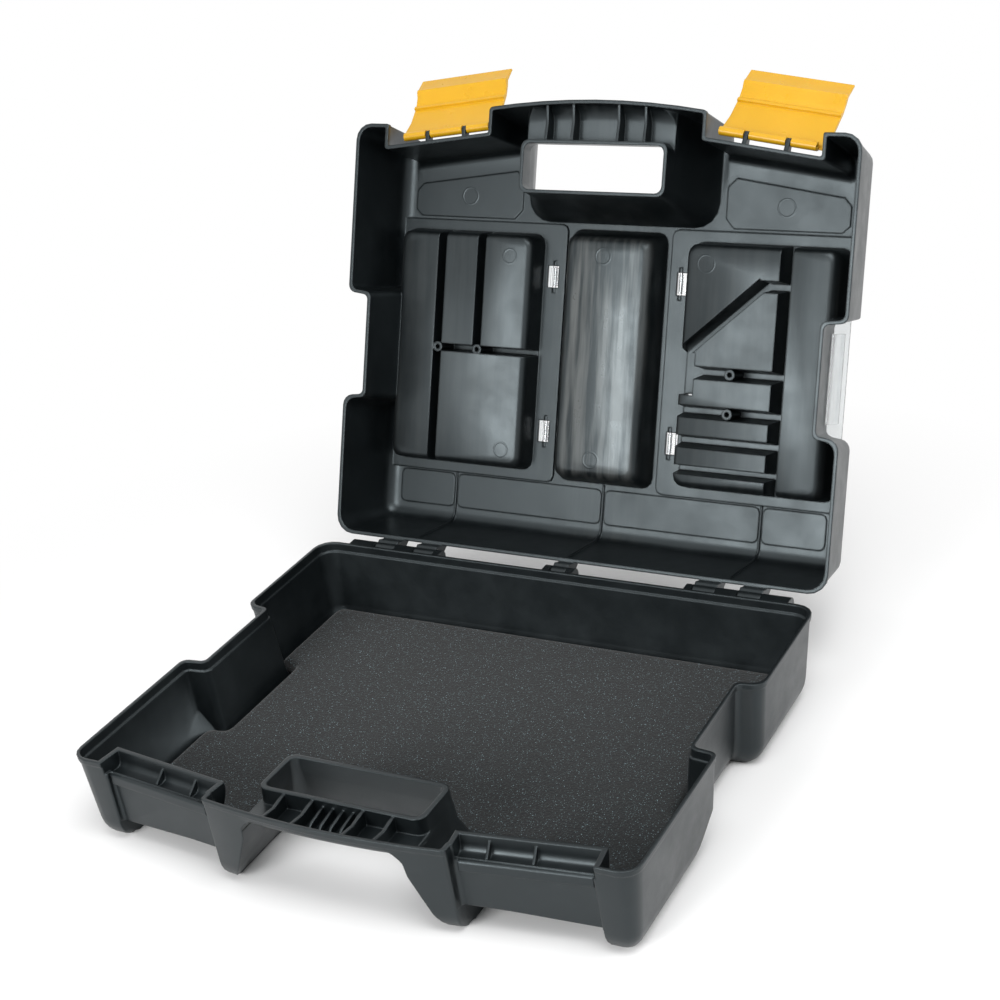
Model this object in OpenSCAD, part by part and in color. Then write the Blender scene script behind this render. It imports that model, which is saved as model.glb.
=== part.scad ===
// Hard tool case: drafted base tray and lid on rear knuckle hinges, two hooked
// front latches, a two-part carrying grip and two see-through organiser covers.
// Units mm. X right, front towards -Y, hinge at +Y, Z up, origin in the middle
// of the flat underside. The lid is built closed and then turned to lid_open.

/* [Case] */
// Overall width across the side walls
case_w = 400; // [392:1:410]
// Depth between the front and rear walls at the rim
case_d = 317; // [312:1:324]
// Height of the base, from the floor to the rim
base_h = 66; // [64:0.5:70]
// Height of the lid above the rim
lid_h = 63; // [62:0.5:66]
// Wall thickness of the base
base_wall = 3; // [2.6:0.1:3.2]
// Wall thickness of the lid
lid_wall = 2.5; // [2.2:0.1:2.8]
// How far the middle of the grip stands in front of the front wall
grip_reach = 20; // [16:0.5:24]

/* [Pose] */
// Lid angle as drawn, 0 is shut
lid_open = 111.2; // [0:0.1:111.2]
// Latch angle as drawn, 0 is hooked to the base
latch_open = 126; // [0:1:126]
// Angle of the two organiser covers as drawn, 0 is shut
cover_open = 0; // [0:1:110]

/* [Hinge] */
// Hinge axis behind the rear wall
hinge_back = 8.8; // [8.4:0.1:10]
// Hinge axis below the rim
hinge_drop = 7.7; // [6.5:0.1:9]
// Radius of the hinge knuckles
knuckle_r = 6.2; // [5:0.1:6.4]
// Radius of the steel hinge pins
hinge_pin_r = 1.75; // [1.5:0.05:2]

/* [Latches] */
// Distance of each latch middle from the case middle
latch_x = 128; // [126:0.5:130]
// Width of a latch barrel
barrel_w = 73; // [68:1:75]
// Radius of a latch barrel
barrel_r = 3.2; // [3:0.1:3.5]
// Radius of the steel latch pins
latch_pin_r = 1.25; // [1:0.05:1.4]
// Thickness of the latch plates
plate_t = 2.2; // [1.8:0.1:2.6]

/* [Organiser] */
// Depth of the organiser pockets below the outside of the lid
pocket_depth = 23; // [20:0.5:25]
// Thickness of the see-through covers
cover_t = 1.8; // [1.5:0.1:2]
// Radius of the cover hinge pins
cover_pin_r = 1; // [0.8:0.05:1.1]

/* [Foam] */
// Thickness of the foam pad on the floor
foam_t = 14; // [6:0.5:14]

/* [Hidden] */
eps = 0.01;
run = 0.05;
gap = 0.4;
seam = 0.4;
hx = case_w / 2;
hy = case_d / 2;
arc_n = 4;
side_draft = 0.105;
lid_draft = 0.147;
axis_y = hy + hinge_back;
axis_z = base_h - hinge_drop;
lid_z = base_h + seam;
grip_half = latch_x - 42;
foot_x = hx - 28;
hinge_x = hx - 100;
hinge_len = 78;
wall_x = hx - 60;
pocket_x = hx - 30.5;
recess_y0 = -hy + 5;
recess_y1 = -hy + 16.5;
slope = (recess_y1 - recess_y0) / (foot_x - grip_half);
slant = atan(slope);
ledge_out = 11;
shelf_z = base_h - 11.6;
lip_z = base_h - 9.6;
latch_front = 6.65;
latch_drop = 12.9;
notch_x = hx - 17;
notch_y0 = -28;
notch_y1 = 48.5;

function unit(v) = v / norm(v);
function left_of(u) = [-u[1], u[0]];
function cross2(u, v) = u[0] * v[1] - u[1] * v[0];
// where the line through p along u meets the line through q along v
function meet(p, u, q, v) = p + u * (cross2(q - p, v) / cross2(u, v));
// points of a fillet of radius r at corner q between directions u and v
function fillet(q, u, v, r, n) =
    r <= 0 ? [q] :
    let (
        turn = atan2(cross2(u, v), u * v),
        s = sign(turn),
        reach = r * tan(abs(turn) / 2),
        c = q - u * reach + left_of(u) * (s * r)
    )
    [for (i = [0:n])
        let (a = turn * i / n, w = -left_of(u) * s)
        c + r * [w[0] * cos(a) - w[1] * sin(a), w[0] * sin(a) + w[1] * cos(a)]];

// Half outline of the rim, front middle to rear corner: point, fillet radius,
// and how much of the wall draft the edge that leaves the point takes.
function grip_y(x) = -hy - grip_reach + 6.3 * pow(x / grip_half, 2);
grip_steps = 4;
function half_plan(front0, front1, kf) = concat(
    [for (i = [0:grip_steps - 1])
        let (x = grip_half * i / grip_steps) [[x, grip_y(x)], 0, 1]],
    [[[grip_half, grip_y(grip_half)], 3, 0.1]],
    [[[grip_half, front0], 1.5, kf]],
    [[[foot_x, front1], 1.5, 0.25]],
    [[[foot_x, -hy], 1.5, 1]],
    [[[hx, -hy], 14, 1]],
    [[[hx, notch_y0 - 2], 6, 0.5]],
    [[[notch_x, notch_y0], 4, 1]],
    [[[notch_x, notch_y1], 4, 0.5]],
    [[[hx, notch_y1 + 2], 12, 1]],
    [[[hx, hy], 14, 1]]);

function mirrored(p) = [-p[0], p[1]];
// one half ring of the outline, every edge moved in by its share of t plus w
function half_ring(plan, t, w) =
    let (
        n = len(plan),
        before = [for (i = [0:n - 1]) i == 0 ? mirrored(plan[1][0]) : plan[i - 1][0]],
        after = [for (i = [0:n - 1]) i == n - 1 ? [0, plan[i][0][1]] : plan[i + 1][0]],
        u = [for (i = [0:n - 1]) unit(plan[i][0] - before[i])],
        v = [for (i = [0:n - 1]) unit(after[i] - plan[i][0])],
        q = [for (i = [0:n - 1])
            let (
                tu = (i == 0 ? plan[0][2] : plan[i - 1][2]) * t + w,
                tv = plan[i][2] * t + w
            )
            meet(plan[i][0] + left_of(u[i]) * tu, u[i], plan[i][0] + left_of(v[i]) * tv, v[i])]
    )
    [for (i = [0:n - 1])
        let (
            r0 = plan[i][1],
            turn = atan2(cross2(u[i], v[i]), u[i] * v[i]),
            r1 = turn > 0 ? max(r0 - (t + w) / 2, 1) : r0 + min(t + w, 1),
            room = min(i == 0 ? 99 : norm(q[i] - q[i - 1]), i == n - 1 ? 99 : norm(q[i + 1] - q[i])),
            r = r0 == 0 ? 0 : min(r1, 0.45 * room / tan(abs(turn) / 2))
        )
        each fillet(q[i], u[i], v[i], r, arc_n)];
function full_ring(h) = concat(h, [for (i = [len(h) - 1:-1:1]) mirrored(h[i])]);

// first point of the inner foot corner, and first point of the side step
foot_a = grip_steps + 2 * (arc_n + 1);
foot_b = foot_a + 3 * (arc_n + 1);

// flat cap of a ring whose points run front to rear in mirrored pairs; the outer
// foot stands forward of the wall beside it, so it is a fan of its own
function cap(m) =
    let (other = function (i) 2 * m - 1 - i)
    concat(
        [[0, 1, other(1)]],
        [for (i = [1:foot_a - 1]) each [[i, i + 1, other(i + 1)], [i, other(i + 1), other(i)]]],
        [for (i = [foot_a:foot_b - 2]) [foot_b, i, i + 1]],
        [for (i = [foot_a:foot_b - 2]) [other(foot_b), other(i + 1), other(i)]],
        [[foot_a, foot_b, other(foot_b)], [foot_a, other(foot_b), other(foot_a)]],
        [for (i = [foot_b:m - 2])
            each [[i, i + 1, other(i + 1)], [i, other(i + 1), other(i)]]]);
function flipped(f) = [for (t = f) [t[2], t[1], t[0]]];
function moved(f, by) = [for (t = f) [for (i = t) i + by]];
// side faces between rings of n points, ring 0 lowest, seen from outside
function sides(n, count) = [for (k = [0:count - 2], i = [0:n - 1])
    let (j = (i + 1) % n, a = k * n)
    each [[a + i, a + n + j, a + j], [a + i, a + n + i, a + n + j]]];

// solid through rings [z, inset share t], walls moved in by w
module plan_loft(plan, rings, w) {
    halves = [for (r = rings) half_ring(plan, r[1], w)];
    m = len(halves[0]);
    n = 2 * m - 1;
    pts = [for (k = [0:len(rings) - 1]) for (p = full_ring(halves[k])) [p[0], p[1], rings[k][0]]];
    polyhedron(pts, concat(
        cap(m), sides(n, len(rings)), moved(flipped(cap(m)), n * (len(rings) - 1))));
}

// rounded rectangle, counter-clockwise
function round_rect(x0, y0, x1, y1, r, n) = [for (c = [
        [x0 + r, y0 + r, 180], [x1 - r, y0 + r, 270], [x1 - r, y1 - r, 0], [x0 + r, y1 - r, 90]])
    for (i = [0:n]) [c[0] + r * cos(c[2] + 90 * i / n), c[1] + r * sin(c[2] + 90 * i / n)]];
// solid through convex rings [z, points], ring 0 lowest
module ring_loft(rings) {
    n = len(rings[0][1]);
    pts = [for (r = rings) for (p = r[1]) [p[0], p[1], r[0]]];
    bottom = [for (i = [1:n - 2]) [0, i, i + 1]];
    polyhedron(pts, concat(
        bottom, sides(n, len(rings)), moved(flipped(bottom), n * (len(rings) - 1))));
}

// ---------- shapes shared by base and lid ----------
// space for the fingers: the hole behind the grip and the opening under it,
// dir -1 runs down from the rim of the base, dir 1 runs up from the lid rim
hole_hx = 55.5;
hole_rear = -hy + 45;
hole_front = -hy + 11.7;
module finger_space(z0, dir, depth, w) {
    steps = [[-5, -0.3, -0.2, 5], [13.6 - 0.7 * w, 1, 2, 6], [14.6 - 0.7 * w, 1.3, 2.3, 6], [24, 2.8, 4, 8],
        [40, 9.5, 11, 12], [52, 14.5, 15.5, 15], [58, 18, 18, 17], [64, 23, 20, 19],
        [70, 26, 21, 20]];
    rings = [for (i = [0:len(steps) - 1]) let (s = steps[i])
        [z0 + dir * s[0], round_rect(-hole_hx - s[1] - w, i < 2 ? hole_front - w : -hy - 60,
            hole_hx + s[1] + w, hole_rear + s[2] + w, s[3] + w * 0.4, arc_n)]];
    flip = [for (i = [len(rings) - 1:-1:0]) rings[i]];
    ring_loft(dir < 0 ? flip : rings);
    // rounding under the front of the grip
    lip = [[4, 44, 0], [5, 46, 0.4], [8.6, 51.5, 3], [12, 55, 7.5], [14.2, 56.4, 13], [17, 57.5, 24]];
    nx = 6;
    under = [for (s = lip) let (half = s[1] + w, z = z0 + dir * (s[0] - 0.7 * w))
        [z, concat([[0, -hy - 60], [half, -hy - 50]],
            [for (i = [nx:-1:-nx]) let (x = half * i / nx) [x, grip_y(x) + s[2] + 0.8 * w]],
            [[-half, -hy - 50]])]];
    strip_loft(dir < 0 ? [for (i = [len(under) - 1:-1:0]) under[i]] : under);
}
// solid through rings [z, points] whose first point sees all the others
module strip_loft(rings) {
    n = len(rings[0][1]);
    pts = [for (r = rings) for (p = r[1]) [p[0], p[1], r[0]]];
    bottom = [for (i = [1:n - 2]) [0, i, i + 1]];
    polyhedron(pts, concat(
        bottom, sides(n, len(rings)), moved(flipped(bottom), n * (len(rings) - 1))));
}
// prism on a (distance, height) profile along the slanted latch wall, right side
module along_wall(x0, x1) {
    len_x = (x1 - x0) / cos(slant);
    translate([grip_half, recess_y0, 0]) rotate([0, 0, slant])
        translate([(x0 - grip_half) / cos(slant), 0, 0])
        rotate([90, 0, 90]) linear_extrude(len_x) children();
}
module both_sides() {
    children();
    mirror([1, 0, 0]) children();
}

// ---------- base ----------
base_steps = [[66, 17], [63.9, 13.3], [61.3, 10], [58, 7.6], [54, 6], [50, 5.25]];
function base_inset(d) = side_draft * d;
module base_body(w) {
    plan = half_plan(recess_y0 - ledge_out, recess_y1 - ledge_out * 1.1, 1);
    low = [for (s = base_steps) [base_h - s[0] * base_h / 66 + w * (s[0] - 50) / 16, s[1]]];
    band = w > 0
        ? [[base_h - 6.8, 0.7], [base_h - 6.4, -0.4], [base_h + 3, -1]]
        : [[base_h - 4.4, 1.15], [base_h - 3.8, 0.3], [base_h, 0]];
    plan_loft(plan, concat(low, band), w);
}
// upper part of a latch zone: curved scoop above the shelf, lip left standing
module latch_scoop(w) {
    along_wall(grip_half - 0.3 - w, foot_x + 0.3 + w) polygon(w > 0
        ? [[w, base_h + 9], [w, base_h - 5.5], [w - 0.8, base_h - 9], [w - 3.5, shelf_z - w],
            [-40, shelf_z - w], [-40, base_h + 9]]
        : [[0, base_h + 9], [0, base_h - 6.5], [-0.4, base_h - 9], [-1.6, base_h - 10.8],
            [-3.6, shelf_z], [-7.4, shelf_z], [-9, shelf_z], [-9, lip_z], [-40, lip_z],
            [-40, base_h + 9]]);
}
// underside of a latch zone rises towards the front, between the two feet
module raised_under(w) {
    rise = 19;
    translate([grip_half - 0.6 - w, 0, 0]) rotate([90, 0, 90])
        linear_extrude(foot_x + 2 - grip_half + 0.6 + 2 * w)
        polygon([[-hy + 46.5 + w, -30], [-hy + 46.5 + w, 0], [-hy + 2.5, rise + w],
            [-hy - 60, rise + w + 5], [-hy - 60, -30]]);
}
// the front blocks are cut away from below towards the step in the side wall
module side_cut(w) {
    shift = [-0.72, -0.42, 0.56] * w;
    a = [hx + 3, -98, -2];
    b = [hx - 30, notch_y0 + 2, -2];
    c = [hx + 3, notch_y0 + 2, 42];
    d = [hx + 3, notch_y0 + 2, -2];
    translate(shift) polyhedron([a, b, c, d], [[0, 1, 2], [0, 2, 3], [0, 3, 1], [1, 3, 2]]);
}
module base_form(w) {
    difference() {
        base_body(w);
        finger_space(base_h, -1, base_h, w);
        both_sides() {
            latch_scoop(w);
            raised_under(w);
            side_cut(w);
        }
    }
}
// upright plates between the ring of the hole and the front of the grip
grip_ribs = [-39, -18, 18, 39];
module grip_rib(x, z0, dir, t) {
    f = grip_y(x);
    up = function (d) z0 + dir * d;
    translate([x - t / 2, 0, 0]) rotate([90, 0, 90]) linear_extrude(t)
        polygon([[f + 1.4, up(1)], [f + 1.4, up(3)], [f + 5, up(8)], [f + 12, up(12.4)],
            [hole_front - 1, up(13)], [hole_front - 1, up(1)], [hole_front - 8, up(1.6)],
            [(hole_front + f) / 2, up(3)], [f + 6, up(1.8)]]);
}
// low fins between the middle ribs
module grip_fins(z0, dir) {
    up = function (d) z0 + dir * d;
    for (x = [-10.8, -3.6, 3.6, 10.8])
        translate([x - 0.8, 0, 0]) rotate([90, 0, 90]) linear_extrude(1.6)
            polygon([[grip_y(x) + 9, up(12.6)], [grip_y(x) + 10, up(9)], [grip_y(x) + 14, up(6.4)],
                [hole_front - 7, up(4.6)], [hole_front - 1, up(4)], [hole_front - 1, up(13)]]);
}
module gusset(x) {
    along_wall(x - 0.8, x + 0.8) polygon([[0.6, base_h - 3], [-0.4, base_h - 3],
        [-8, shelf_z + 1.6], [-8.4, shelf_z - 0.6], [0.6, shelf_z - 0.6]]);
}
// bar under the lip that a latch hooks beneath
bar_h = 8;
module latch_bar() {
    along_wall(grip_half + 2, foot_x - 2) polygon([[-9.6, lip_z - 1], [-ledge_out - 0.4, lip_z - 1],
        [-ledge_out - 1.3, lip_z - 2], [-ledge_out - 1.3, lip_z - bar_h],
        [-ledge_out + 2.4, lip_z - bar_h - 0.6], [-9.2, lip_z - 4]]);
}
base_knuckles = [[hinge_x, hinge_x + 5.2], [hinge_x + 23, hinge_x + 39],
    [hinge_x + 57, hinge_x + hinge_len], [6.4, 12]];
lid_knuckles = [[hinge_x + 5.6, hinge_x + 22.6], [hinge_x + 39.4, hinge_x + 56.6]];
module knuckle_block(x0, x1, profile) {
    translate([x0, 0, 0]) rotate([90, 0, 90]) linear_extrude(x1 - x0) polygon(profile);
    translate([x0, axis_y, axis_z]) rotate([0, 90, 0])
        cylinder(h = x1 - x0, r = knuckle_r, $fn = 48);
}
module base_knuckle(x0, x1) {
    knuckle_block(x0, x1, [[hy - 3, axis_z - 14], [hy - 1.6, axis_z - 14],
        [axis_y + knuckle_r * 0.3, axis_z - knuckle_r * 0.95], [axis_y, axis_z + knuckle_r],
        [hy - 1.5, axis_z + knuckle_r - 0.2]]);
}
module pin_bores(r) {
    translate([10 - hx, axis_y, axis_z]) rotate([0, 90, 0])
        cylinder(h = 2 * (hx - 10), r = r, $fn = 48);
}
module base_shell() {
    color("#3a4144") difference() {
        union() {
            difference() {
                base_form(0);
                base_form(base_wall);
            }
            for (x = grip_ribs) grip_rib(x, base_h, -1, 2);
            grip_fins(base_h, -1);
            both_sides() {
                for (x = [104.5, 133]) gusset(x);
                latch_bar();
                for (k = base_knuckles) base_knuckle(k[0], k[1]);
            }
        }
        pin_bores(hinge_pin_r);
    }
}
module foam_pad() {
    d = base_h - base_wall - gap;
    plan = half_plan(recess_y0 - ledge_out, recess_y1 - ledge_out * 1.1, 1);
    color("#2b2e30") difference() {
        union() {
            translate([0, 0, base_wall + gap]) linear_extrude(3)
                polygon(round_rect(-hx + 38, -hy + 70, hx - 38, hy - 21, 12, arc_n));
            translate([0, 0, base_wall + gap + 2.4]) linear_extrude(foam_t - 2.4)
                polygon(full_ring(half_ring(plan, 11, base_wall + 1.2)));
        }
        finger_space(base_h, -1, base_h, base_wall + 1.5);
        both_sides() {
            raised_under(base_wall + 1.2);
            side_cut(base_wall + 1.2);
        }
    }
}

// ---------- lid ----------
lid_steps = [[0, 0], [3.8, 0.3], [4.4, 1.2], [51, 7.5], [54.7, 8.1], [58, 9.8], [60.7, 12.4],
    [62.4, 15.8], [63, 19.5]];
module lid_body(w) {
    plan = half_plan(recess_y0, recess_y1, 0.65);
    k = (12 - w) / 12;
    rings = [for (i = [0:len(lid_steps) - 1]) let (s = lid_steps[i])
        i == 0 && w > 0 ? [lid_z - 3, -0.2]
        : w > 0 && i < 3 ? [lid_z + s[0], 0.5 + 0.1 * i]
        : [lid_z + (s[0] < 51 ? s[0] : 51 + (s[0] - 51) * k) * (lid_h / 63),
            s[0] < 51 ? s[1] : 7.5 + (s[1] - 7.5) * k]];
    plan_loft(plan, rings, w);
}
// organiser pocket: floor rectangle, spread of the walls towards the outside
module pocket(x0, y0, x1, y1, side, w) {
    floor_d = lid_h - pocket_depth;
    steps = [[0, 0, 0], [0.8, 2, 2.5], [2.5, 3.6, 4.5], [6, 4.6, 6.5], [pocket_depth - 2, 6.4, 11],
        [pocket_depth + 6, 7, 12]];
    ring_loft([for (s = steps)
        [lid_z + floor_d + s[0] - (s[0] > 6 ? 0 : w), round_rect(
            x0 - (side > 0 ? s[1] : s[2]) - w, y0 - (side == 0 ? s[2] : s[1]) - w,
            x1 + (side < 0 ? s[1] : s[2]) + w, y1 + (side == 0 ? s[2] : s[1]) + w,
            5 + s[1] * 0.3 + w * 0.4, 3)]]);
}
// walls between compartments: [x0, y0, x1, y1, width of the groove behind]
left_walls = [[-wall_x, -86, -wall_x, 102, 4.6, 2.4], [-105.5, -86, -105.5, 9, 4.6, 2.4],
    [-wall_x, 8.8, -58, 8.8, 4, 2]];
right_walls = [[wall_x, -86, wall_x, 104, 5.6, 3.6], [122.4, -52, wall_x, -52, 5, 3.6],
    [124, -54, 56, 8, 5, 4.6], [65.6, -1, 65.6, 30, 19, 0.6],
    [72, 13, wall_x, 13, 4.6, 4.8], [60, 41.8, wall_x, 41.8, 4.6, 4.8],
    [60, 64, wall_x, 64, 4.6, 4.8], [60, 85, wall_x, 85, 4, 3]];
// a wall between two compartments, wider towards the inside of the case
module divider(s, w) {
    u = [s[2] - s[0], s[3] - s[1]];
    t = s[4] / 2 + lid_wall - w;
    translate([s[0], s[1], lid_z + lid_h - pocket_depth]) rotate([90, 0, atan2(u[1], u[0]) + 90])
        linear_extrude(norm(u))
        polygon([[-t - s[5] / 2, -8], [t + s[5] / 2, -8], [t + s[5] / 2, -lid_wall],
            [t, pocket_depth - 2.6 - w], [-t, pocket_depth - 2.6 - w], [-t - s[5] / 2, -lid_wall]]);
}
module relief(points, depth, w) {
    translate([0, 0, lid_z + lid_h - depth - w]) linear_extrude(depth + w + 9) polygon(points);
}
cover_step = cover_t + 0.3;
zone_x = 45.5;
zone_y0 = -88;
zone_y1 = 105;
module lid_recesses(w) {
    pocket(-26, -74, 26, 91, 0, w);
    difference() {
        pocket(70, -73.5, pocket_x, 91, 1, w);
        for (s = right_walls) divider(s, w);
    }
    difference() {
        pocket(-pocket_x, -73.5, -70, 91, -1, w);
        for (s = left_walls) divider(s, w);
    }
    both_sides() {
        relief(round_rect(zone_x - w, zone_y0 - w, hx + 20, zone_y1 + w, 5, 2), cover_step, w);
        relief(round_rect(4 - w, 111.5 - w, 123.6 + w, 133 + w, 4, 2), 0.9, w);
        relief(round_rect(131.4 - w, 111.5 - w, foot_x + 3 + w, 133 + w, 4, 2), 0.9, w);
        relief([[grip_half - w, -100], [grip_half - w, -123], [grip_half + 4, -127 - w],
            [foot_x, -115.5 - w], [foot_x + 3 + w, -112], [foot_x + 3 + w, -98],
            [foot_x, -95.5 + w], [grip_half + 4, -95.5 + w]], 0.9, w);
    }
}
module lid_form(w) {
    difference() {
        lid_body(w);
        finger_space(lid_z, 1, lid_h, w);
        lid_recesses(w);
    }
}
module corner_rib(x, t) {
    in = function (d) hy - lid_wall - lid_draft * d;
    translate([x - t / 2, 0, lid_z]) rotate([90, 0, 90]) linear_extrude(t)
        polygon([[in(3) + 1.2, 3], [in(3), 3], [in(5) - 1.6, 7], [in(48) - 1.8, 48],
            [in(52) - 3, 54], [in(52) - 6, 57.4], [in(52) - 10, 58.8], [106, 59.4],
            [104, lid_h - lid_wall + 0.6], [in(52) - 10, lid_h - lid_wall + 0.8],
            [in(52) - 3.4, lid_h - 4], [in(50) + 1.2, 50]]);
}
boss_spots = [[0.2 - wall_x, 8.8], [-105.3, 8.8], [103, 13], [103, 41.8]];
cover_axis_x = 51.8;
cover_axis_z = lid_z + lid_h - 3.2;
lug_r = 2.1;
lug_len = 14;
lug_spots = [-50.5, 68.5];
slot_half = 8.2;
module cover_hinge_slots() {
    for (y = lug_spots) translate([cover_axis_x - 3, y - slot_half, cover_axis_z - 12])
        cube([9.4, 2 * slot_half, 24]);
}
module cover_hinge_bosses() {
    for (y = lug_spots, s = [-1, 1]) translate([cover_axis_x, y + s * (slot_half + 1.9), cover_axis_z])
        rotate([90, 0, 0]) cylinder(h = 4, r = lug_r, center = true, $fn = 40);
}
module cover_pin_bores() {
    for (y = lug_spots) translate([cover_axis_x, y, cover_axis_z])
        rotate([90, 0, 0]) cylinder(h = 2 * slot_half + 8, r = cover_pin_r, center = true, $fn = 32);
}
// local frame of a latch: X along its pin, -Y to the front, Z up
latch_axis_x = latch_x;
latch_axis_y = recess_y0 + slope * (latch_x - grip_half) - latch_front / cos(slant);
module at_latch() {
    translate([latch_axis_x, latch_axis_y, lid_z + latch_drop]) rotate([0, 0, slant]) children();
}
lug_offset = 15.7;
module latch_lugs() {
    at_latch() for (s = [-1, 1]) translate([s * lug_offset - 1.5, 0, 0]) rotate([90, 0, 90]) {
        linear_extrude(3) polygon([[0, -2.7], [0, 2.7], [latch_front + 3.2, 3.4],
            [latch_front + 2.6, -4.4]]);
        cylinder(h = 3, r = 2.7, $fn = 40);
    }
}
module latch_pin_bore(r, len) {
    at_latch() rotate([0, 90, 0]) cylinder(h = len, r = r, center = true, $fn = 40);
}
module lid_knuckle(x0, x1) {
    knuckle_block(x0, x1, [[hy - 1.4, lid_z + 5], [hy + 0.4, lid_z - 1.2], [hy + 0.5, axis_z + 1],
        [axis_y, axis_z - knuckle_r * 0.9], [axis_y + knuckle_r * 0.98, axis_z],
        [axis_y + knuckle_r * 0.6, lid_z - 1], [hy + 1.2, lid_z + 9], [hy - 2.4, lid_z + 9]]);
}
module lid_solid() {
    difference() {
        union() {
            difference() {
                lid_form(0);
                lid_form(lid_wall);
            }
            for (x = grip_ribs) grip_rib(x, lid_z, 1, 2);
            for (x = [-127.5, 0, 127.5]) corner_rib(x, 1.4);
            for (b = boss_spots) translate([b[0], b[1], lid_z + lid_h - pocket_depth - 2])
                cylinder(h = pocket_depth - 1, r = 4, $fn = 32);
            both_sides() {
                cover_hinge_bosses();
                latch_lugs();
                for (k = lid_knuckles) lid_knuckle(k[0], k[1]);
            }
            lid_knuckle(-6, 6);
        }
        for (b = boss_spots) translate([b[0], b[1], lid_z + lid_h - pocket_depth - 9])
            cylinder(h = pocket_depth, r = 1.8, $fn = 24);
        both_sides() {
            cover_hinge_slots();
            cover_pin_bores();
            latch_pin_bore(latch_pin_r, 60);
        }
        pin_bores(hinge_pin_r + run);
    }
}
module turned_lid() {
    translate([0, axis_y, axis_z]) rotate([-lid_open, 0, 0]) translate([0, -axis_y, -axis_z])
        children();
}
module lid_shell() {
    color("#3a4144") turned_lid() lid_solid();
}
module hinge_pin(x0, x1) {
    color("#b9bdc0") translate([x0, axis_y, axis_z]) rotate([0, 90, 0])
        cylinder(h = x1 - x0, r = hinge_pin_r, $fn = 48);
}
module hinge_pin_left() { hinge_pin(-hinge_x - hinge_len, -hinge_x); }
module hinge_pin_centre() { hinge_pin(-12, 12); }
module hinge_pin_right() { hinge_pin(hinge_x, hinge_x + hinge_len); }

// ---------- latches ----------
module latch_profile() {
    polygon([[1.2, 2.6], [-2.2, -2.2], [-6.4, -20], [-6.6, -33], [-4.6, -33.6], [-4.9, -36],
        [-6.4, -37.4], [-4.4, -44.4], [-2.0, -47.4], [-1.4, -49.6], [-2.6, -51.6], [-4.6, -62],
        [-6.4, -62.4], [-4.9, -52.4], [-4.6, -50.2], [-6.4, -46.4], [-8.7, -38],
        [-8.9, -20], [-8.3, -16], [-4.4, 0], [-2.2, 2.4]]);
}
module latch_body() {
    difference() {
        union() {
            rotate([0, 90, 0]) cylinder(h = barrel_w, r = barrel_r, center = true, $fn = 48);
            translate([-barrel_w / 2 - 1, 0, 0]) rotate([90, 0, 90])
                linear_extrude(barrel_w + 5) latch_profile();
        }
        for (s = [-1, 1]) translate([s * lug_offset, 0, 0]) rotate([0, 90, 0])
            cylinder(h = 4.2, r = 4.6, center = true, $fn = 40);
        for (s = [-1, 1]) translate([s > 0 ? barrel_w / 2 : -barrel_w / 2 - 9, 0, 0])
            rotate([0, 90, 0]) cylinder(h = 9, r = 4.6, $fn = 40);
        rotate([0, 90, 0]) cylinder(h = barrel_w + 20, r = latch_pin_r + run, center = true, $fn = 40);
    }
}
module latch_right_solid() { at_latch() rotate([-latch_open, 0, 0]) latch_body(); }
module latch_right() { color("#f4be22") turned_lid() latch_right_solid(); }
module latch_left() { color("#f4be22") turned_lid() mirror([1, 0, 0]) latch_right_solid(); }
module latch_pin_right() {
    color("#b9bdc0") turned_lid() latch_pin_bore(latch_pin_r, barrel_w - 1);
}
module latch_pin_left() {
    color("#b9bdc0") turned_lid() mirror([1, 0, 0]) latch_pin_bore(latch_pin_r, barrel_w - 1);
}

// ---------- covers ----------
module cover_solid() {
    z0 = cover_axis_z + 1.5;
    edge = cover_axis_x + 3.4;
    difference() {
        union() {
            translate([0, 0, z0]) linear_extrude(cover_t)
                polygon(round_rect(edge, zone_y0 + gap, notch_x, zone_y1 - gap, 5, arc_n));
            translate([notch_x - 4.4, notch_y0 + 6, z0 - 27]) cube([1.5, notch_y1 - notch_y0 - 12, 28]);
            for (y = lug_spots) {
                translate([cover_axis_x, y, cover_axis_z]) rotate([90, 0, 0])
                    cylinder(h = lug_len, r = lug_r, center = true, $fn = 40);
                translate([cover_axis_x, y - lug_len / 2, cover_axis_z - 0.4])
                    cube([4.2, lug_len, 2.4]);
            }
        }
        for (y = lug_spots) translate([cover_axis_x, y, cover_axis_z]) rotate([90, 0, 0])
            cylinder(h = lug_len + 4, r = cover_pin_r + run, center = true, $fn = 32);
    }
}
module turned_cover() {
    turned_lid() translate([cover_axis_x, 0, cover_axis_z]) rotate([0, -cover_open, 0])
        translate([-cover_axis_x, 0, -cover_axis_z]) children();
}
module cover_right() { color("#dfe6ea") turned_cover() cover_solid(); }
module cover_left() {
    color("#dfe6ea") turned_lid() mirror([1, 0, 0])
        translate([cover_axis_x, 0, cover_axis_z]) rotate([0, -cover_open, 0])
        translate([-cover_axis_x, 0, -cover_axis_z]) cover_solid();
}
module cover_pin(s, y) {
    color("#b9bdc0") turned_lid() translate([s * cover_axis_x, y, cover_axis_z])
        rotate([90, 0, 0]) cylinder(h = 2 * slot_half + 7, r = cover_pin_r, center = true, $fn = 32);
}
module cover_pin_left_front() { cover_pin(-1, lug_spots[0]); }
module cover_pin_left_rear() { cover_pin(-1, lug_spots[1]); }
module cover_pin_right_front() { cover_pin(1, lug_spots[0]); }
module cover_pin_right_rear() { cover_pin(1, lug_spots[1]); }

base_shell();
foam_pad();
hinge_pin_left();
hinge_pin_centre();
hinge_pin_right();
lid_shell();
latch_left();
latch_right();
latch_pin_left();
latch_pin_right();
cover_left();
cover_right();
cover_pin_left_front();
cover_pin_left_rear();
cover_pin_right_front();
cover_pin_right_rear();
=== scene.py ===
"""Hard tool case: finishes, foam pad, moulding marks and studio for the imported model."""

import math

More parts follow.
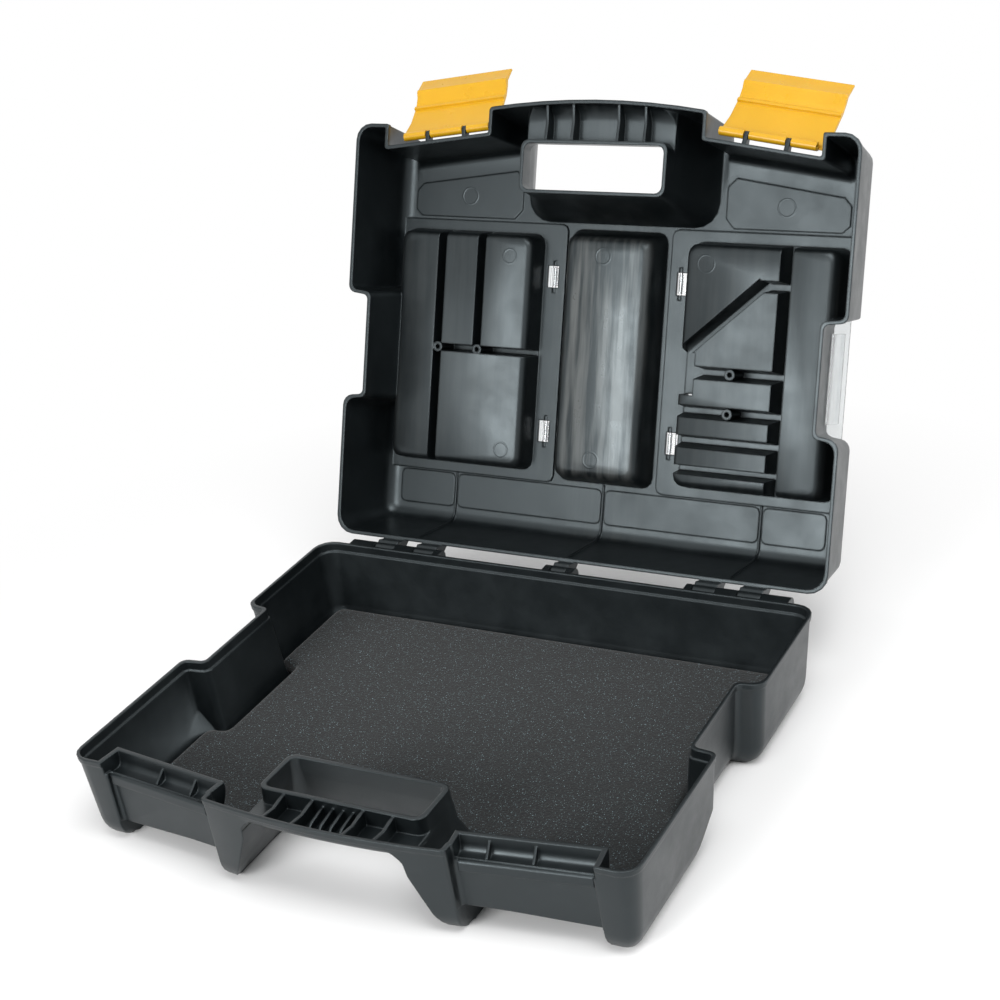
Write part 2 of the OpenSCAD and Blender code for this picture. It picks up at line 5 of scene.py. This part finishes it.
import bmesh
import bpy
from bpy.props import FloatProperty, FloatVectorProperty, PointerProperty
from mathutils import Matrix, Vector


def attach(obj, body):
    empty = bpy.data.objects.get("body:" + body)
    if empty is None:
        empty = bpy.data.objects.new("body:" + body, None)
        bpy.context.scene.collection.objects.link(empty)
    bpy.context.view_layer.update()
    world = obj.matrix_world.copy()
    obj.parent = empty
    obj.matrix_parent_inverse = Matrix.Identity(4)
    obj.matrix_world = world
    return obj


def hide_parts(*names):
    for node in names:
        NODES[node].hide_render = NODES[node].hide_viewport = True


bl_info = {
    "name": "Hard Tool Case",
    "version": (1, 0, 0),
    "blender": (4, 5, 0),
    "location": "View3D > Sidebar > Tool Case",
    "description": "Dresses the tool case and sets up its studio",
    "category": "Object",
}

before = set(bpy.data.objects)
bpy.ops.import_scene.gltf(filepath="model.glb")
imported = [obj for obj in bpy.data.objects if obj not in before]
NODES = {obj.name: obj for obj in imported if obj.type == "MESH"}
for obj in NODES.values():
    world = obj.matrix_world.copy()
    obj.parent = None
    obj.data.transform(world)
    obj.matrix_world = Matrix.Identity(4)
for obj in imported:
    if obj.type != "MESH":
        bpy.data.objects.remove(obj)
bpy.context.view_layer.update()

# the lid as it lies in the frame: it turns about this axis, in metres
LID_ANGLE = math.radians(111.2)
AXIS = Vector((0.0, 0.1673, 0.0583))
# ejector marks on the inside of the closed lid: x, y, radius
MARKS = (
    (0.1297, -0.1094, 0.0065),
    (-0.1297, -0.1094, 0.0065),
    (-0.003, -0.0676, 0.0060),
    (-0.003, 0.0850, 0.0060),
    (-0.0810, -0.0640, 0.0055),
    (-0.0790, 0.0840, 0.0055),
    (0.0790, -0.0660, 0.0065),
)

RING_WIDTH = (0.0002, 0.0008)  # full and faded half width of an ejector ring
# painted sheen: pale streaks stand in for a reflection of the front lamp; they lie in the middle
# box of the closed lid: (full, faded) distances, in metres
STREAK_X = (0.024, 0.036)
STREAK_Y = (0.078, 0.100)
STREAK_MIDDLE_Y = 0.0085
STREAK_REST = 0.10  # how much of the streaks is left outside the box
# colour of the painted sheen streaks, a reflection of the front lamp painted into the lid
PAINTED_SHEEN_COLOUR = (0.085, 0.088, 0.086)

BEVEL_SAMPLES = 6
WELD_LIMIT = 0.00001  # metres: corners closer than this are one
FOLD_LIMIT = math.radians(33)  # edges that fold less are shaded smooth
SENSOR_WIDTH = 36.0  # millimetres
VIEW_END = 50.0  # metres
FLOOR_HALF = 6.0
FLOOR_FADE = (0.22, 0.62)  # metres from the object: plain shadow, then plain white
FLOOR_MIDDLE_Y = 0.04
WORLD_LIGHT = 0.5
# lamps: name, place, aim, size, which setting gives the power, share of that power
LAMPS = (
    ("Key", (0.7, -0.5, 1.9), (0, 0, 0.1), 1.3, "key", 1.0),
    ("Front left", (-0.40, -1.85, 0.85), (0, 0.2, 0.2), 0.85, "fill", 1.0),
    ("Right", (1.7, 0.7, 0.6), (0.1, 0.1, 0.1), 0.9, "fill", 0.4),
)
WHITE = (1, 1, 1, 1)


def lid_place():
    """From the closed lid's own axes to where the open lid stands."""
    return (
        Matrix.Translation(AXIS)
        @ Matrix.Rotation(-LID_ANGLE, 4, "X")
        @ Matrix.Translation(-AXIS)
    )


# ---------------------------------------------------------------- settings


def colour_property(name, description, default):
    """A colour setting, as linear red, green and blue."""
    return FloatVectorProperty(
        name=name, description=description, subtype="COLOR", size=3, min=0, max=1, default=default
    )


def length_property(name, description, default, low, high):
    """A length setting in metres."""
    return FloatProperty(
        name=name, description=description, subtype="DISTANCE", default=default, min=low, max=high
    )


def angle_property(name, description, degrees):
    """An angle setting, given here in degrees."""
    return FloatProperty(
        name=name, description=description, subtype="ANGLE", default=math.radians(degrees)
    )


def power_property(name, description, default):
    """The power of lamps in watts."""
    return FloatProperty(name=name, description=description, default=default, min=0, max=500)


class ShellSettings(bpy.types.PropertyGroup):
    """Moulded shells of the base and the lid."""

    colour: colour_property(
        "Shell colour", "Base colour of the moulded plastic", (0.0022, 0.0031, 0.0036)
    )
    rub_colour: colour_property(
        "Rubbed colour", "Colour where the grain is rubbed smooth", (0.013, 0.0165, 0.018)
    )
    grain: length_property(
        "Grain size", "Size of the moulded grain", 0.0007, 0.0002, 0.003
    )
    edge: length_property(
        "Edge rounding", "How far the shading rounds every moulded edge", 0.0016, 0.0, 0.003
    )


class LatchSettings(bpy.types.PropertyGroup):
    """The two front latches."""

    colour: colour_property(
        "Latch colour", "Base colour of the latches", (0.60, 0.325, 0.004)
    )


class FoamSettings(bpy.types.PropertyGroup):
    """The foam pad on the floor of the base."""

    colour: colour_property(
        "Foam colour", "Main colour of the foam", (0.0060, 0.0085, 0.0095)
    )
    cell: length_property(
        "Cell size", "Size of the open cells in the cut face", 0.0016, 0.0005, 0.005
    )
    voxel: length_property(
        "Mesh size", "Size of the mesh the pad is rebuilt with", 0.0025, 0.0015, 0.006
    )


class StudioSettings(bpy.types.PropertyGroup):
    """Camera, lamps and floor."""

    place: FloatVectorProperty(
        name="Camera place",
        description="Where the camera stands",
        subtype="XYZ",
        unit="LENGTH",
        size=3,
        default=(0.5873, -0.9332, 0.7123),
    )
    azimuth: angle_property("Azimuth", "Camera direction round the object", 29.81)
    elevation: angle_property("Elevation", "Camera direction above the horizon", 25.23)
    roll: angle_property("Roll", "How far the picture is turned in its own plane", -6.96)
    lens: FloatProperty(
        name="Lens", description="Focal length in millimetres", default=68.72, min=20, max=200
    )
    key: power_property("Key light", "Power of the large soft lamp", 27.0)
    fill: power_property("Fill light", "Power of the side lamps", 29.0)


# ---------------------------------------------------------------- helpers


def new_material(name):
    """A material with one empty Principled shader."""
    mat = bpy.data.materials.new(name)
    mat.use_nodes = True
    tree = mat.node_tree
    tree.nodes.clear()
    out = tree.nodes.new("ShaderNodeOutputMaterial")
    shader = tree.nodes.new("ShaderNodeBsdfPrincipled")
    tree.links.new(shader.outputs["BSDF"], out.inputs["Surface"])
    return mat, tree, shader


def coords(tree):
    """Coordinates of the object, in metres."""
    return tree.nodes.new("ShaderNodeTexCoord").outputs["Object"]


def noise(tree, vector, size, detail=3.0, rough=0.5):
    """Soft noise with features of about this size."""
    node = tree.nodes.new("ShaderNodeTexNoise")
    node.inputs["Scale"].default_value = 1.0 / size
    node.inputs["Detail"].default_value = detail
    node.inputs["Roughness"].default_value = rough
    tree.links.new(vector, node.inputs["Vector"])
    return node.outputs["Fac"]


def ramp(tree, value, stops):
    """Colours along a value."""
    node = tree.nodes.new("ShaderNodeValToRGB")
    node.color_ramp.elements[0].position = stops[0][0]
    node.color_ramp.elements[0].color = (*stops[0][1], 1.0)
    node.color_ramp.elements[1].position = stops[-1][0]
    node.color_ramp.elements[1].color = (*stops[-1][1], 1.0)
    for at, colour in stops[1:-1]:
        node.color_ramp.elements.new(at).color = (*colour, 1.0)
    tree.links.new(value, node.inputs["Fac"])
    return node.outputs["Color"]


def map_range(tree, value, low, high, to_low, to_high):
    """Maps low..high to to_low..to_high and holds the ends."""
    node = tree.nodes.new("ShaderNodeMapRange")
    node.inputs["From Min"].default_value = low
    node.inputs["From Max"].default_value = high
    node.inputs["To Min"].default_value = to_low
    node.inputs["To Max"].default_value = to_high
    tree.links.new(value, node.inputs["Value"])
    return node.outputs["Result"]


def math_node(tree, operation, a, b=None):
    """One step of arithmetic on sockets or numbers."""
    node = tree.nodes.new("ShaderNodeMath")
    node.operation = operation
    for index, value in enumerate((a, b)):
        if value is None:
            continue
        if isinstance(value, float):
            node.inputs[index].default_value = value
        else:
            tree.links.new(value, node.inputs[index])
    return node.outputs[0]


def placed(tree, at, turn=(0, 0, 0), shift=(0, 0, 0), scale=(1, 1, 1)):
    """Scales, turns and shifts coordinates."""
    node = tree.nodes.new("ShaderNodeMapping")
    node.inputs["Rotation"].default_value = turn
    node.inputs["Location"].default_value = shift
    node.inputs["Scale"].default_value = scale
    tree.links.new(at, node.inputs["Vector"])
    return node.outputs["Vector"]


def seen_directly(tree):
    """1 for rays from the camera, in a mirror or through clear plastic, else 0."""
    path = tree.nodes.new("ShaderNodeLightPath")
    seen = math_node(tree, "MAXIMUM", path.outputs["Is Camera Ray"], path.outputs["Is Glossy Ray"])
    return math_node(tree, "MAXIMUM", seen, path.outputs["Is Transmission Ray"])


def separate(tree, vector):
    """The X, Y and Z of a vector."""
    node = tree.nodes.new("ShaderNodeSeparateXYZ")
    tree.links.new(vector, node.inputs[0])
    return node.outputs


def mix(tree, factor, a, b):
    """Blends from a to b, which are colours or sockets."""
    node = tree.nodes.new("ShaderNodeMix")
    node.data_type = "RGBA"
    tree.links.new(factor, node.inputs["Factor"])
    for socket, value in ((node.inputs["A"], a), (node.inputs["B"], b)):
        if isinstance(value, tuple):
            socket.default_value = (*value, 1.0)
        else:
            tree.links.new(value, socket)
    return node.outputs["Result"]


def bump(tree, height, strength, distance, rounding=0.0):
    """A normal from a height, over edges that are shaded round."""
    node = tree.nodes.new("ShaderNodeBump")
    node.inputs["Strength"].default_value = strength
    node.inputs["Distance"].default_value = distance
    tree.links.new(height, node.inputs["Height"])
    if rounding > 0:
        edge = tree.nodes.new("ShaderNodeBevel")
        edge.samples = BEVEL_SAMPLES
        edge.inputs["Radius"].default_value = rounding
        tree.links.new(edge.outputs["Normal"], node.inputs["Normal"])
    return node.outputs["Normal"]


def dress(node, mat):
    """Gives a CAD node one finish and smooths the shading of its shallow folds."""
    obj = NODES[node]
    for slot in obj.material_slots:
        slot.material = mat
    if not obj.material_slots:
        obj.data.materials.append(mat)
    weld = obj.modifiers.new("Join", "WELD")
    weld.merge_threshold = WELD_LIMIT
    soft = obj.modifiers.new("Soft shading", "NODES")
    soft.node_group = soft_shading()
    return obj


def soft_shading():
    """Geometry nodes: smooth shading, kept sharp where two faces fold strongly."""
    group = bpy.data.node_groups.get("Soft shading")
    if group:
        return group
    group = bpy.data.node_groups.new("Soft shading", "GeometryNodeTree")
    group.interface.new_socket("Geometry", in_out="INPUT", socket_type="NodeSocketGeometry")
    group.interface.new_socket("Geometry", in_out="OUTPUT", socket_type="NodeSocketGeometry")
    start = group.nodes.new("NodeGroupInput")
    end = group.nodes.new("NodeGroupOutput")
    angle = group.nodes.new("GeometryNodeInputMeshEdgeAngle")
    limit = group.nodes.new("FunctionNodeCompare")
    limit.data_type = "FLOAT"
    limit.operation = "LESS_THAN"
    limit.inputs["B"].default_value = FOLD_LIMIT
    faces = group.nodes.new("GeometryNodeSetShadeSmooth")
    faces.domain = "FACE"
    edges = group.nodes.new("GeometryNodeSetShadeSmooth")
    edges.domain = "EDGE"
    link = group.links.new
    link(start.outputs[0], faces.inputs["Geometry"])
    link(faces.outputs["Geometry"], edges.inputs["Geometry"])
    link(angle.outputs["Unsigned Angle"], limit.inputs["A"])
    link(limit.outputs["Result"], edges.inputs["Shade Smooth"])
    link(edges.outputs["Geometry"], end.inputs[0])
    return group


# ---------------------------------------------------------------- finishes


def closed_lid(tree, at):
    """Coordinates in which the lid lies closed on the base."""
    undo = lid_place().inverted()
    return placed(tree, at, tuple(undo.to_euler()), tuple(undo.translation))


def ejector_marks(tree, at):
    """Rings left by the mould on the inside of the lid: 1 on a ring, else 0."""
    flat = tree.nodes.new("ShaderNodeVectorMath")
    flat.operation = "MULTIPLY"
    flat.inputs[1].default_value = (1.0, 1.0, 0.0)
    tree.links.new(at, flat.inputs[0])
    marks = None
    for x, y, radius in MARKS:
        off = tree.nodes.new("ShaderNodeVectorMath")
        off.operation = "DISTANCE"
        off.inputs[1].default_value = (x, y, 0.0)
        tree.links.new(flat.outputs[0], off.inputs[0])
        away = math_node(tree, "SUBTRACT", off.outputs["Value"], radius)
        away = math_node(tree, "ABSOLUTE", away)
        ring = map_range(tree, away, *RING_WIDTH, 1.0, 0.0)
        marks = ring if marks is None else math_node(tree, "MAXIMUM", marks, ring)
    facing = tree.nodes.new("ShaderNodeVectorMath")
    facing.operation = "DOT_PRODUCT"
    inward = lid_place().to_3x3() @ Vector((0, 0, -1))
    facing.inputs[1].default_value = tuple(inward)
    surface = tree.nodes.new("ShaderNodeNewGeometry")
    tree.links.new(surface.outputs["True Normal"], facing.inputs[0])
    inside = math_node(tree, "GREATER_THAN", facing.outputs["Value"], 0.9)
    return math_node(tree, "MULTIPLY", marks, inside)


def painted_sheen_streaks(tree, closed):
    """Painted sheen: long pale streaks on the front-facing inside of the lid's middle box,
    standing in for a reflection of the front lamp.
    """
    long_way = placed(tree, closed, scale=(1, 0.07, 0.5))
    painted_sheen = map_range(tree, noise(tree, long_way, 0.006, 3.0, 0.55), 0.40, 0.66, 0.0, 1.0)
    place = separate(tree, closed)
    across = math_node(tree, "ABSOLUTE", place["X"])
    along = math_node(tree, "ABSOLUTE", math_node(tree, "SUBTRACT", place["Y"], STREAK_MIDDLE_Y))
    facing = separate(tree, tree.nodes.new("ShaderNodeTexCoord").outputs["Normal"])
    for limit in (
        map_range(tree, across, *STREAK_X, 1.0, STREAK_REST),
        map_range(tree, along, *STREAK_Y, 1.0, STREAK_REST),
        map_range(tree, facing["Y"], -0.1, -0.4, 0.0, 1.0),
    ):
        painted_sheen = math_node(tree, "MULTIPLY", painted_sheen, limit)
    return painted_sheen


def shell_plastic(settings, lid):
    """Grained dark polypropylene, a little rubbed; the lid shows painted sheen streaks and marks.
    """
    mat, tree, shader = new_material("Lid plastic" if lid else "Base plastic")
    at = coords(tree)
    broad = noise(tree, at, 0.09, 4.0, 0.6)
    patches = noise(tree, at, 0.018, 5.0, 0.62)
    rubbed = ramp(tree, patches, [(0.50, (0, 0, 0)), (0.78, (1, 1, 1))])
    tone = mix(
        tree,
        map_range(tree, broad, 0.3, 0.7, 0.0, 0.45),
        tuple(settings.colour),
        tuple(c * 1.5 for c in settings.colour),
    )
    rub = math_node(tree, "MULTIPLY", rubbed, 0.3)
    tone = mix(tree, rub, tone, tuple(settings.rub_colour))
    rough = map_range(tree, noise(tree, at, 0.03, 4.0, 0.6), 0.3, 0.7, 0.30, 0.42)
    grain = noise(tree, at, settings.grain, 2.0, 0.6)
    if lid:
        closed = closed_lid(tree, at)
        # painted sheen: pale streaks painted into the colour as a reflection of the front lamp
        painted_sheen = painted_sheen_streaks(tree, closed)
        tone = mix(tree, painted_sheen, tone, PAINTED_SHEEN_COLOUR)
        rough = math_node(tree, "SUBTRACT", rough, math_node(tree, "MULTIPLY", painted_sheen, 0.06))
        marks = ejector_marks(tree, closed)
        pale = math_node(tree, "MULTIPLY", marks, 0.55)
        tone = mix(tree, pale, tone, tuple(settings.rub_colour))
        height = math_node(tree, "ADD", grain, math_node(tree, "MULTIPLY", marks, 2.5))
    else:
        height = grain
    tree.links.new(tone, shader.inputs["Base Color"])
    tree.links.new(rough, shader.inputs["Roughness"])
    shader.inputs["Specular IOR Level"].default_value = 0.56
    shader.inputs["Specular Tint"].default_value = (0.82, 0.95, 1.0, 1.0)
    tree.links.new(bump(tree, height, 0.22, 0.0002, settings.edge), shader.inputs["Normal"])
    return mat


def latch_plastic(settings):
    """Semi-gloss yellow plastic with faint draw lines along its width."""
    mat, tree, shader = new_material("Latch plastic")
    at = coords(tree)
    tone = mix(
        tree,
        map_range(tree, noise(tree, at, 0.03, 3.0, 0.5), 0.3, 0.7, 0.0, 1.0),
        tuple(settings.colour),
        tuple(min(1.0, c * 1.06 + 0.004) for c in settings.colour),
    )
    tree.links.new(tone, shader.inputs["Base Color"])
    rough = map_range(tree, noise(tree, at, 0.012, 4.0, 0.6), 0.3, 0.7, 0.26, 0.38)
    tree.links.new(rough, shader.inputs["Roughness"])
    shader.inputs["Subsurface Weight"].default_value = 0.12
    shader.inputs["Subsurface Radius"].default_value = (0.004, 0.002, 0.0005)
    shader.inputs["Subsurface Scale"].default_value = 1.0
    lines = noise(tree, placed(tree, at, scale=(0.04, 1, 1)), 0.0012, 2.0, 0.5)
    tree.links.new(bump(tree, lines, 0.10, 0.0002, 0.0006), shader.inputs["Normal"])
    return mat


def pin_steel():
    """Drawn steel wire."""
    mat, tree, shader = new_material("Pin steel")
    at = coords(tree)
    tone = mix(tree, noise(tree, at, 0.004, 3.0, 0.5), (0.46, 0.46, 0.47), (0.62, 0.62, 0.63))
    tree.links.new(tone, shader.inputs["Base Color"])
    shader.inputs["Metallic"].default_value = 1.0
    rough = map_range(tree, noise(tree, at, 0.002, 2.0, 0.5), 0.3, 0.7, 0.22, 0.36)
    tree.links.new(rough, shader.inputs["Roughness"])
    tree.links.new(bump(tree, noise(tree, at, 0.0006), 0.1, 0.0001), shader.inputs["Normal"])
    return mat


def clear_plastic():
    """Clear moulded covers with faint flow lines and a frosted grain."""
    mat, tree, shader = new_material("Clear plastic")
    at = coords(tree)
    tone = mix(tree, noise(tree, at, 0.05, 3.0, 0.5), (0.86, 0.89, 0.90), (0.93, 0.95, 0.955))
    tree.links.new(tone, shader.inputs["Base Color"])
    rough = map_range(tree, noise(tree, at, 0.02, 4.0, 0.6), 0.3, 0.7, 0.08, 0.2)
    tree.links.new(rough, shader.inputs["Roughness"])
    shader.inputs["Transmission Weight"].default_value = 0.92
    shader.inputs["IOR"].default_value = 1.49
    waves = noise(tree, at, 0.008)
    tree.links.new(bump(tree, waves, 0.12, 0.0002, 0.0004), shader.inputs["Normal"])
    return mat


def cut_foam(settings):
    """Cut face of dark open-cell foam: pits, pale flecks and fine grain."""
    mat, tree, shader = new_material("Cut foam")
    at = coords(tree)
    cells = tree.nodes.new("ShaderNodeTexVoronoi")
    cells.inputs["Scale"].default_value = 1.0 / settings.cell
    tree.links.new(at, cells.inputs["Vector"])
    flecks = noise(tree, at, settings.cell * 0.55, 2.0, 0.7)
    base = tuple(settings.colour)
    tone = ramp(
        tree,
        cells.outputs["Distance"],
        [
            (0.05, tuple(c * 1.5 for c in base)),
            (0.35, tuple(c * 0.9 for c in base)),
            (0.7, tuple(c * 0.4 for c in base)),
        ],
    )
    speck = ramp(tree, flecks, [(0.655, (0, 0, 0)), (0.70, (1, 1, 1))])
    tone = mix(tree, speck, tone, tuple(min(1.0, c * 55.0) for c in base))
    tree.links.new(tone, shader.inputs["Base Color"])
    shader.inputs["Roughness"].default_value = 0.95
    shader.inputs["Specular IOR Level"].default_value = 0.25
    shader.inputs["Sheen Weight"].default_value = 0.15
    shader.inputs["Sheen Roughness"].default_value = 0.6
    tree.links.new(bump(tree, cells.outputs["Distance"], 0.45, 0.0005), shader.inputs["Normal"])
    return mat


# ---------------------------------------------------------------- operators


class CASE_OT_shells(bpy.types.Operator):
    """Finishes the base and the lid in grained dark plastic"""

    bl_idname = "tool_case.shells"
    bl_label = "Shells"

    def execute(self, context):
        settings = context.scene.case_shell
        dress("base_shell", shell_plastic(settings, lid=False))
        dress("lid_shell", shell_plastic(settings, lid=True))
        return {"FINISHED"}


class CASE_OT_pins(bpy.types.Operator):
    """Finishes the hinge, latch and cover pins in drawn steel"""

    bl_idname = "tool_case.pins"
    bl_label = "Steel pins"

    def execute(self, context):
        mat = pin_steel()
        for node in NODES:
            if "pin" in node:
                dress(node, mat)
        return {"FINISHED"}


class CASE_OT_latches(bpy.types.Operator):
    """Finishes the two latches in yellow plastic"""

    bl_idname = "tool_case.latches"
    bl_label = "Latches"

    def execute(self, context):
        mat = latch_plastic(context.scene.case_latch)
        for node in ("latch_left", "latch_right"):
            dress(node, mat)
        return {"FINISHED"}


class CASE_OT_covers(bpy.types.Operator):
    """Finishes the two organiser covers in clear plastic"""

    bl_idname = "tool_case.covers"
    bl_label = "Organiser covers"

    def execute(self, context):
        mat = clear_plastic()
        for node in ("cover_left", "cover_right"):
            dress(node, mat)
        return {"FINISHED"}


class CASE_OT_foam(bpy.types.Operator):
    """Builds the foam pad with softly rounded cut edges"""

    bl_idname = "tool_case.foam"
    bl_label = "Foam pad"

    def execute(self, context):
        settings = context.scene.case_foam
        mesh = NODES["foam_pad"].data.copy()
        mesh.name = "foam_floor_pad"
        mesh.materials.clear()
        pad = bpy.data.objects.new("foam_floor_pad", mesh)
        context.scene.collection.objects.link(pad)
        mesh.materials.append(cut_foam(settings))
        weld = pad.modifiers.new("Join", "WELD")
        weld.merge_threshold = WELD_LIMIT
        rebuild = pad.modifiers.new("Rebuild", "REMESH")
        rebuild.mode = "VOXEL"
        rebuild.voxel_size = settings.voxel
        rebuild.use_smooth_shade = True
        soften = pad.modifiers.new("Soften", "SMOOTH")
        soften.factor = 0.5
        soften.iterations = 4
        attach(pad, "base")
        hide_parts("foam_pad")
        return {"FINISHED"}


class CASE_OT_stage(bpy.types.Operator):
    """Sets up the floor, the soft lamps and the camera"""

    bl_idname = "tool_case.stage"
    bl_label = "Studio"

    def execute(self, context):
        scene = context.scene
        settings = scene.case_studio
        scene.view_settings.view_transform = "Standard"
        self.camera(scene, settings)
        self.floor(scene)
        self.world(scene)
        self.lamps(scene, settings)
        return {"FINISHED"}

    def camera(self, scene, settings):
        az, el, roll = settings.azimuth, settings.elevation, settings.roll
        back = Vector((math.sin(az) * math.cos(el), -math.cos(az) * math.cos(el), math.sin(el)))
        right = (-back).cross(Vector((0, 0, 1))).normalized()
        up = right.cross(-back)
        r = math.cos(roll) * right + math.sin(roll) * up
        u = -math.sin(roll) * right + math.cos(roll) * up
        data = bpy.data.cameras.new("Camera")
        data.lens = settings.lens
        data.sensor_width = SENSOR_WIDTH
        data.clip_end = VIEW_END
        cam = bpy.data.objects.new("Camera", data)
        turn = Matrix((r, u, back)).transposed().to_4x4()
        cam.matrix_world = Matrix.Translation(Vector(settings.place)) @ turn
        scene.collection.objects.link(cam)
        scene.camera = cam

    def floor(self, scene):
        bm = bmesh.new()
        bmesh.ops.create_grid(bm, x_segments=1, y_segments=1, size=FLOOR_HALF)
        mesh = bpy.data.meshes.new("Studio floor")
        bm.to_mesh(mesh)
        bm.free()
        floor = bpy.data.objects.new("Studio_floor", mesh)
        scene.collection.objects.link(floor)
        mat, tree, shader = new_material("Studio floor")
        at = coords(tree)
        tone = mix(tree, noise(tree, at, 0.4, 2.0, 0.5), (0.90, 0.90, 0.90), (0.93, 0.93, 0.93))
        tree.links.new(tone, shader.inputs["Base Color"])
        shader.inputs["Roughness"].default_value = 0.9
        shader.inputs["Specular IOR Level"].default_value = 0.1
        self.fade_to_white(tree, at, shader)
        mesh.materials.append(mat)

    def fade_to_white(self, tree, at, shader):
        """Shows plain white away from the object and keeps the shadow near it."""
        away = tree.nodes.new("ShaderNodeVectorMath")
        away.operation = "LENGTH"
        tree.links.new(placed(tree, at, shift=(0, -FLOOR_MIDDLE_Y, 0)), away.inputs[0])
        far = map_range(tree, away.outputs["Value"], *FLOOR_FADE, 0.0, 1.0)
        white = tree.nodes.new("ShaderNodeEmission")
        white.inputs["Color"].default_value = WHITE
        white.inputs["Strength"].default_value = 1.0
        both = tree.nodes.new("ShaderNodeMixShader")
        shown = math_node(tree, "MULTIPLY", far, seen_directly(tree))
        tree.links.new(shown, both.inputs["Fac"])
        tree.links.new(shader.outputs["BSDF"], both.inputs[1])
        tree.links.new(white.outputs["Emission"], both.inputs[2])
        out = next(n for n in tree.nodes if n.type == "OUTPUT_MATERIAL")
        tree.links.new(both.outputs[0], out.inputs["Surface"])

    def world(self, scene):
        world = bpy.data.worlds.new("Studio")
        world.use_nodes = True
        scene.world = world
        tree = world.node_tree
        tree.nodes.clear()
        out = tree.nodes.new("ShaderNodeOutputWorld")
        light, shown = (tree.nodes.new("ShaderNodeBackground") for _ in range(2))
        for node, strength in ((light, WORLD_LIGHT), (shown, 1.0)):
            node.inputs["Color"].default_value = WHITE
            node.inputs["Strength"].default_value = strength
        both = tree.nodes.new("ShaderNodeMixShader")
        tree.links.new(seen_directly(tree), both.inputs["Fac"])
        tree.links.new(light.outputs[0], both.inputs[1])
        tree.links.new(shown.outputs[0], both.inputs[2])
        tree.links.new(both.outputs[0], out.inputs["Surface"])

    def lamps(self, scene, settings):
        for name, place, aim, size, setting, share in LAMPS:
            data = bpy.data.lights.new(name, "AREA")
            data.shape = "SQUARE"
            data.size = size
            data.energy = getattr(settings, setting) * share
            lamp = bpy.data.objects.new(name, data)
            lamp.location = place
            beam = Vector(aim) - Vector(place)
            lamp.rotation_euler = beam.to_track_quat("-Z", "Y").to_euler()
            scene.collection.objects.link(lamp)


# ---------------------------------------------------------------- panel


class CASE_PT_panel(bpy.types.Panel):
    """Lists the pieces of the tool case and its settings"""

    bl_idname = "CASE_PT_panel"
    bl_label = "Tool Case"
    bl_space_type = "VIEW_3D"
    bl_region_type = "UI"
    bl_category = "Tool Case"

    def draw(self, context):
        for piece in PIECES:
            self.layout.operator(piece.bl_idname, text=piece.bl_label)
        for name, group in SETTINGS.items():
            box = self.layout.box()
            for prop in group.__annotations__:
                box.prop(getattr(context.scene, name), prop)


PIECES = (
    CASE_OT_shells,
    CASE_OT_pins,
    CASE_OT_latches,
    CASE_OT_covers,
    CASE_OT_foam,
    CASE_OT_stage,
)
SETTINGS = {
    "case_shell": ShellSettings,
    "case_latch": LatchSettings,
    "case_foam": FoamSettings,
    "case_studio": StudioSettings,
}


def register():
    for group in SETTINGS.values():
        bpy.utils.register_class(group)
    for name, group in SETTINGS.items():
        setattr(bpy.types.Scene, name, PointerProperty(type=group))
    for piece in PIECES:
        bpy.utils.register_class(piece)
    bpy.utils.register_class(CASE_PT_panel)


def unregister():
    bpy.utils.unregister_class(CASE_PT_panel)
    for piece in reversed(PIECES):
        bpy.utils.unregister_class(piece)
    for name in SETTINGS:
        delattr(bpy.types.Scene, name)
    for group in reversed(list(SETTINGS.values())):
        bpy.utils.unregister_class(group)


def main():
    register()
    for piece in PIECES:
        area, name = piece.bl_idname.split(".")
        getattr(getattr(bpy.ops, area), name)()


if __name__ == "__main__":
    main()
